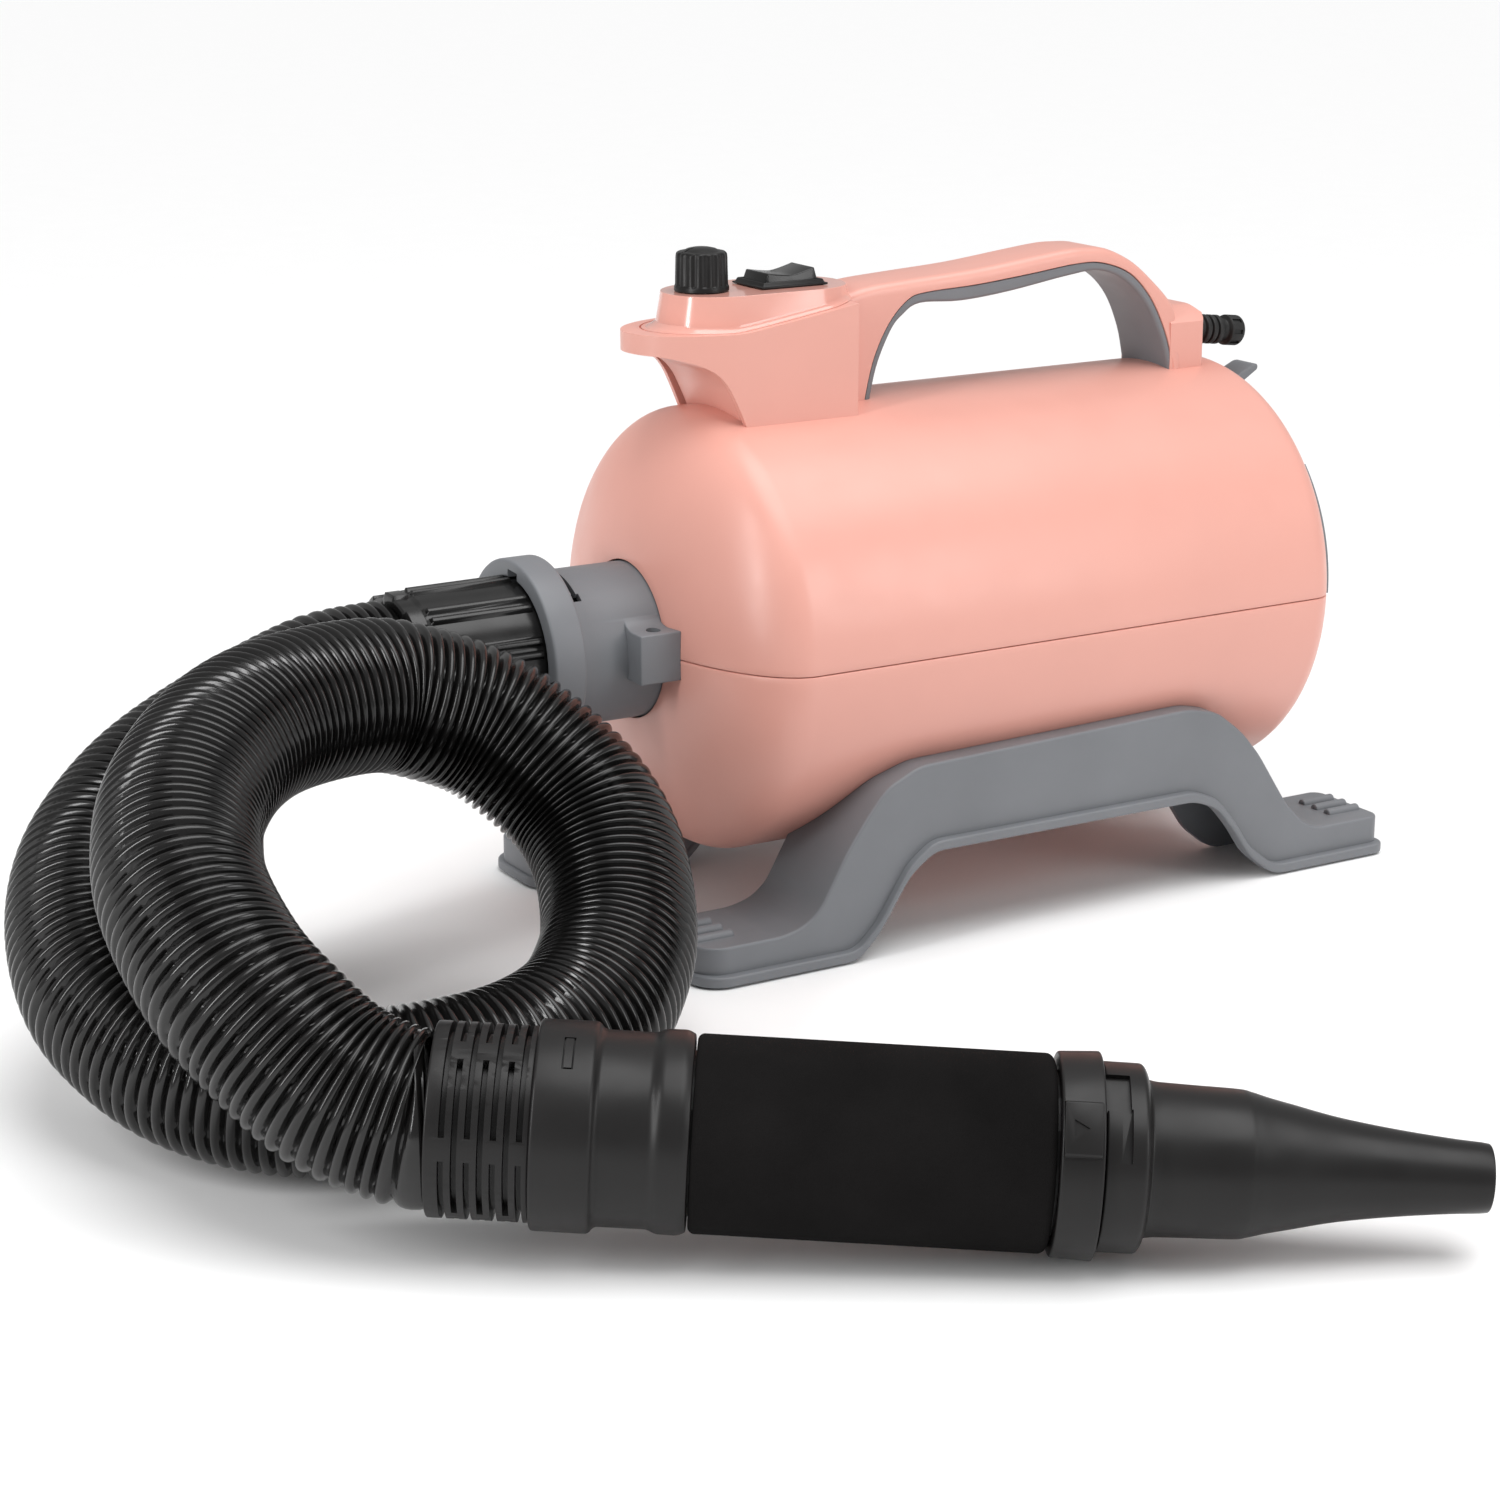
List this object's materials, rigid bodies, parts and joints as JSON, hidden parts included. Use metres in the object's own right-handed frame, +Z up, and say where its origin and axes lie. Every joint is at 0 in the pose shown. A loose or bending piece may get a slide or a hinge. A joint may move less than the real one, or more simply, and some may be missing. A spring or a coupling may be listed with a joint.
{
  "type": "pet dryer",
  "caption": "Pet grooming blower: pink cylindrical body on grey skids, top control pod and carry handle, long black corrugated hose ending in a foam-gripped wand with a cone nozzle.",
  "frame": {"origin": "on the floor, under the middle of the box around everything but the free hose", "axes": "+X from the outlet end to the filter end of the blower, +Y towards the side away from the wand, +Z up from the floor"},
  "size_m": [0.6487, 0.5554, 0.2888],
  "materials": {
    "pink_shell": "semi-gloss moulded shell",
    "grey_trim": "fine satin texture",
    "black_plastic": "satin",
    "black_hose": "glossy corrugated",
    "foam": "soft open texture",
    "rubber": "matt",
    "filter_foam": "open-cell foam",
    "steel": "machined",
    "zinc": "zinc plated",
    "aluminium": "satin",
    "copper": "enamelled copper",
    "carbon": "pressed carbon",
    "mica": "mica board",
    "circuit_board": "solder mask"
  },
  "bodies": {
    "chassis": {"upper_shell": "pink_shell", "lower_shell": "pink_shell", "outlet_collar": "grey_trim", "hose": "black_hose", "wand_cage": "black_plastic", "wand_socket": "black_plastic", "grip_tube": "black_plastic", "foam_grip": "foam", "lock_ring": "black_plastic", "stand_right": "grey_trim", "stand_left": "grey_trim", "foot_pad_front_right": "rubber", "foot_pad_front_left": "rubber", "foot_pad_rear_right": "rubber", "foot_pad_rear_left": "rubber", "control_pod": "pink_shell", "pod_neck": "pink_shell", "control_panel": "pink_shell", "switch_body": "black_plastic", "potentiometer": "zinc", "control_board": "circuit_board", "handle_bow": "pink_shell", "handle_grip": "grey_trim", "cord_block": "pink_shell", "cord_gland": "rubber", "filter_foam": "filter_foam", "intake_grille": "black_plastic", "fan_can": "aluminium", "stage_diffuser": "aluminium", "rear_bracket": "aluminium", "bearing_rear": "steel", "bearing_front": "steel", "front_bracket": "aluminium", "stator_core": "steel", "field_coil_upper": "copper", "field_coil_lower": "copper", "carbon_brush_right": "carbon", "carbon_brush_left": "carbon", "motor_cradle": "rubber", "fan_gasket": "rubber", "acoustic_foam": "filter_foam", "heater_frame": "mica", "heater_coil": "steel", "supply_lead": "black_plastic", "body_screw_front_right": "zinc", "body_screw_front_left": "zinc", "body_screw_rear_right": "zinc", "body_screw_rear_left": "zinc"},
    "rotor": {"motor_shaft": "steel", "armature_core": "steel", "armature_winding": "copper", "commutator": "copper", "impeller_front": "aluminium", "impeller_rear": "aluminium"},
    "knob": {"speed_knob": "black_plastic", "pot_shaft": "aluminium"},
    "switch_rocker": {"rocker": "black_plastic"},
    "cover": {"filter_cover": "grey_trim"},
    "cuff": {"hose_cuff": "black_plastic"},
    "wand_nozzle": {"nozzle": "black_plastic"}
  },
  "joints": [
    {"name": "rotor_spin", "type": "hinge", "parent": "chassis", "child": "rotor", "pos_m": [0.1075, 0.1789, 0.1255], "axis": [1, 0, 0], "continuous": true},
    {"name": "speed_knob_turn", "type": "hinge", "parent": "chassis", "child": "knob", "pos_m": [-0.0175, 0.1789, 0.28], "axis": [0, 0, 1], "range_deg": [0, 270]},
    {"name": "rocker_tilt", "type": "hinge", "parent": "chassis", "child": "switch_rocker", "pos_m": [0.0207, 0.1789, 0.271], "axis": [0, 1, 0], "range_deg": [-9, 9]},
    {"name": "filter_cover_turn", "type": "hinge", "parent": "chassis", "child": "cover", "pos_m": [0.2575, 0.1789, 0.1255], "axis": [1, 0, 0], "range_deg": [0, 25]},
    {"name": "hose_cuff_turn", "type": "hinge", "parent": "chassis", "child": "cuff", "pos_m": [-0.1275, 0.1789, 0.1255], "axis": [1, 0, 0], "range_deg": [0, 30]},
    {"name": "nozzle_turn", "type": "hinge", "parent": "chassis", "child": "wand_nozzle", "pos_m": [-0.07366, -0.20634, 0.03466], "axis": [0.8461, -0.5304, -0.0525], "range_deg": [0, 25]}
  ]
}
